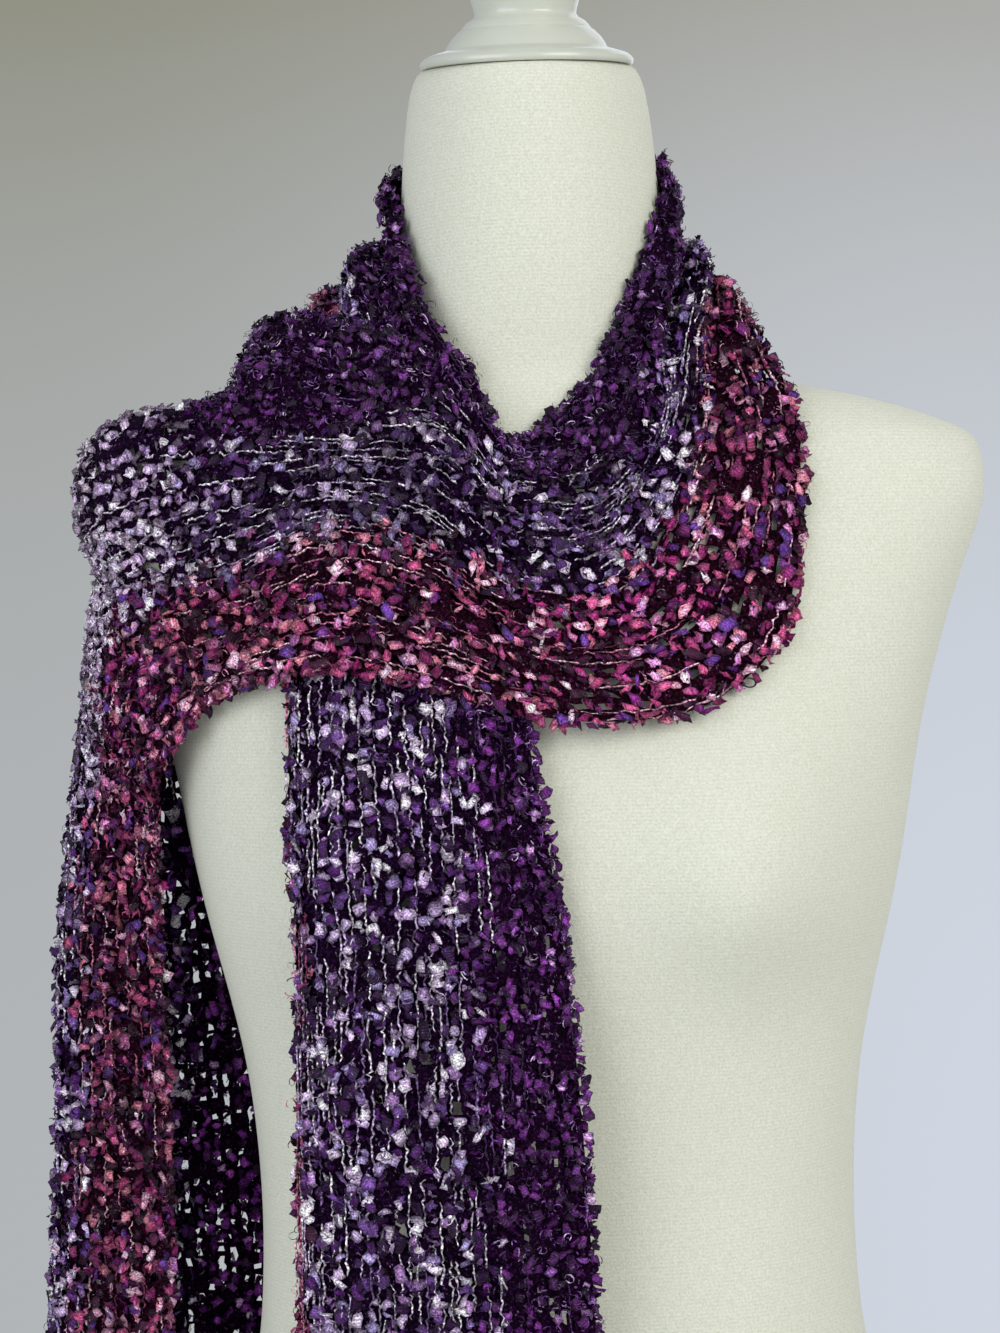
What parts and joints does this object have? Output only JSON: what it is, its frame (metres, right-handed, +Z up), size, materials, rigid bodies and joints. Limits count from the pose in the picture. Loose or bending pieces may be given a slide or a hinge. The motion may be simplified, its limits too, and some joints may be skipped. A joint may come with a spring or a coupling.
{
  "type": "knit scarf on a dress form",
  "caption": "Long striped knit scarf, looped round the neck of a limbless dress form and thrown over one shoulder, on a low round stand.",
  "frame": {"origin": "centre of the stand base's underside", "axes": "+Z up, the front of the form towards -Y, the shoulder that the scarf covers at -X"},
  "size_m": [0.4265, 0.3, 0.9495],
  "materials": {
    "flag_knit": "knitted flag yarn in plum, lavender and rose, satin tabs on a dark ground",
    "jersey_cover": "fine matt cream jersey drawn tight over the form",
    "white_lacquer": "smooth gloss white lacquer",
    "white_enamel": "satin white enamel"
  },
  "bodies": {
    "root": {"form_torso": "jersey_cover", "form_cap": "white_lacquer", "stand_pole": "white_enamel", "stand_base": "white_enamel", "scarf_front_tail": "flag_knit", "scarf_neck_left": "flag_knit", "scarf_neck_back": "flag_knit", "scarf_neck_right": "flag_knit", "scarf_chest_turn": "flag_knit", "scarf_chest_band": "flag_knit", "scarf_shoulder_cover": "flag_knit", "scarf_side_tail": "flag_knit"}
  },
  "joints": []
}
